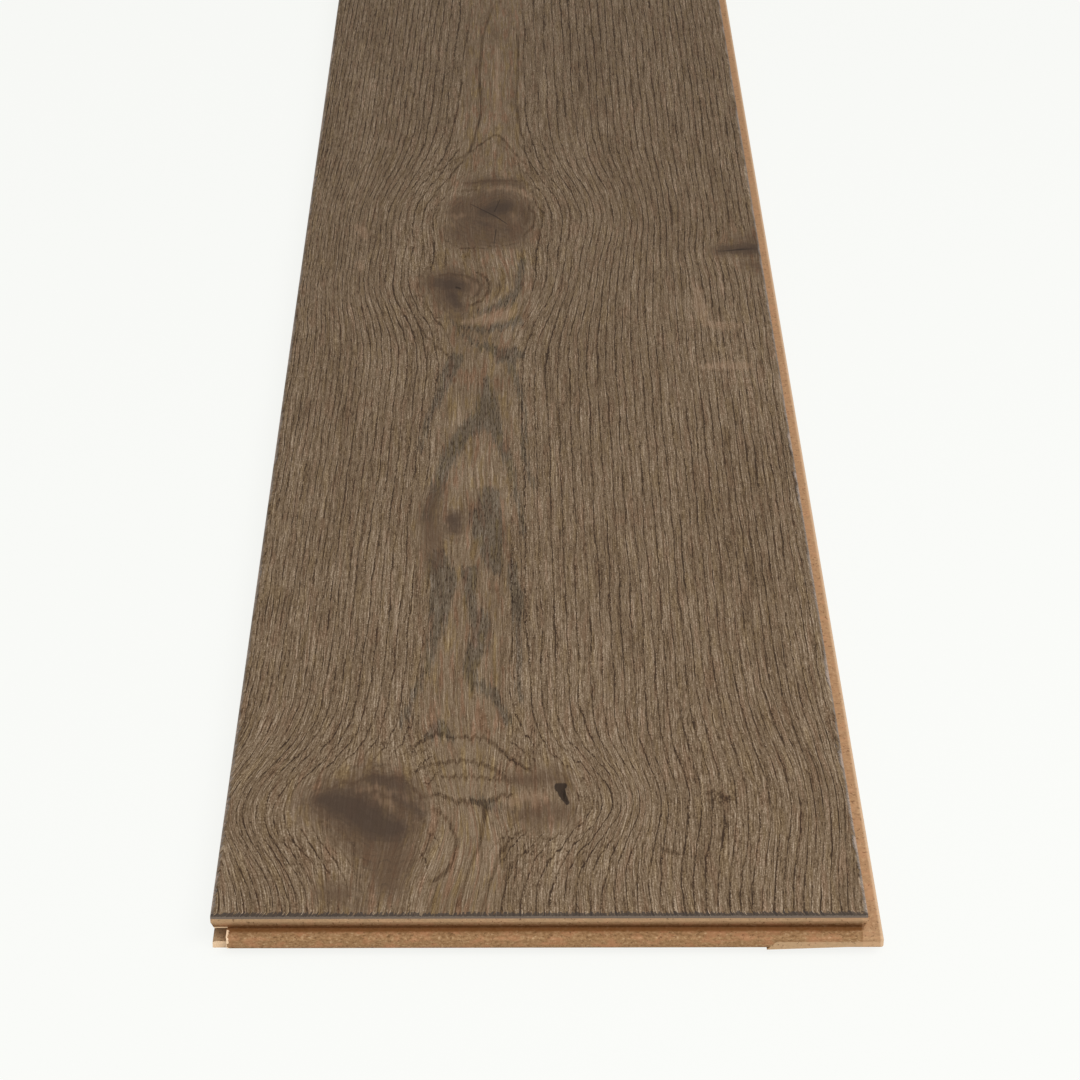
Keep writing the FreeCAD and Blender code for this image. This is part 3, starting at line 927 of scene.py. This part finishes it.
class FLOORBOARD_OT_hdf_core(Operator):
    """Give the core its cut fibreboard finish"""
    bl_idname = "floorboard.hdf_core"
    bl_label = "Fibreboard core"

    def execute(self, context):
        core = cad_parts["hdf_core"]
        core.data.materials.clear()
        core.data.materials.append(fibreboard(context.scene.floorboard_core))
        return {"FINISHED"}


class FLOORBOARD_OT_stage(Operator):
    """Set the pale floor, the soft light and the camera"""
    bl_idname = "floorboard.stage"
    bl_label = "Stage"

    def execute(self, context):
        settings = context.scene.floorboard_stage
        bpy.ops.object.select_all(action="DESELECT")
        bpy.ops.mesh.primitive_plane_add(size=FLOOR_SIZE)
        floor = context.object
        floor.name = "studio_floor"
        floor.data.materials.append(pale_floor(settings))

        world = bpy.data.worlds.new("Soft studio")
        context.scene.world = world
        world.use_nodes = True
        tree = world.node_tree
        tree.nodes.clear()
        seen = add(tree, "ShaderNodeLightPath").outputs["Is Camera Ray"]
        sky = add(tree, "ShaderNodeBackground", {
            "Color": (1.0, 1.0, 1.0, 1.0), "Strength": settings.sky_light})
        white = add(tree, "ShaderNodeBackground", {"Color": settings.floor, "Strength": 1.0})
        shown = add(tree, "ShaderNodeMixShader", (seen, sky, white))
        add(tree, "ShaderNodeOutputWorld", {"Surface": shown})

        bpy.ops.object.light_add(type="AREA", location=SOFT_BOX_PLACE)
        box = context.object
        box.name = "soft_box"
        box.data.shape = "RECTANGLE"
        box.data.size = SOFT_BOX_WIDTH
        box.data.size_y = SOFT_BOX_HEIGHT
        box.data.energy = settings.key_light
        aim = Vector(SOFT_BOX_AIM) - box.location
        box.rotation_euler = aim.to_track_quat("-Z", "Y").to_euler()

        bpy.ops.object.camera_add()
        camera = context.object
        camera.name = "camera"
        camera.data.lens = CAMERA_LENS
        camera.data.sensor_width = CAMERA_SENSOR
        turn = Matrix.Rotation(math.radians(CAMERA_YAW), 4, "Z")
        turn = turn @ Matrix.Rotation(math.radians(90 - CAMERA_PITCH), 4, "X")
        turn = turn @ Matrix.Rotation(math.radians(CAMERA_ROLL), 4, "Z")
        camera.matrix_world = Matrix.Translation(Vector(CAMERA_PLACE) * MM) @ turn
        context.scene.camera = camera
        context.scene.view_settings.view_transform = "Standard"
        return {"FINISHED"}


class FLOORBOARD_PT_panel(Panel):
    """Steps that dress the floorboard, each with its settings"""
    bl_idname = "FLOORBOARD_PT_panel"
    bl_label = "Wide plank floorboard"
    bl_space_type = "VIEW_3D"
    bl_region_type = "UI"
    bl_category = "Floorboard"

    def draw(self, context):
        scene = context.scene
        for settings, step in (
                (scene.floorboard_oak, FLOORBOARD_OT_oak_face),
                (scene.floorboard_core, FLOORBOARD_OT_hdf_core),
                (scene.floorboard_stage, FLOORBOARD_OT_stage)):
            column = self.layout.box().column()
            for name in type(settings).__annotations__:
                column.prop(settings, name)
            column.operator(step.bl_idname)


CLASSES = (
    OakFaceSettings,
    CoreSettings,
    StageSettings,
    FLOORBOARD_OT_oak_face,
    FLOORBOARD_OT_hdf_core,
    FLOORBOARD_OT_stage,
    FLOORBOARD_PT_panel,
)


def register():
    for kind in CLASSES:
        bpy.utils.register_class(kind)
    bpy.types.Scene.floorboard_oak = PointerProperty(type=OakFaceSettings)
    bpy.types.Scene.floorboard_core = PointerProperty(type=CoreSettings)
    bpy.types.Scene.floorboard_stage = PointerProperty(type=StageSettings)


def unregister():
    del bpy.types.Scene.floorboard_stage
    del bpy.types.Scene.floorboard_core
    del bpy.types.Scene.floorboard_oak
    for kind in reversed(CLASSES):
        bpy.utils.unregister_class(kind)


def main():
    register()
    bpy.ops.floorboard.oak_face()
    bpy.ops.floorboard.hdf_core()
    bpy.ops.floorboard.stage()


if __name__ == "__main__":
    main()
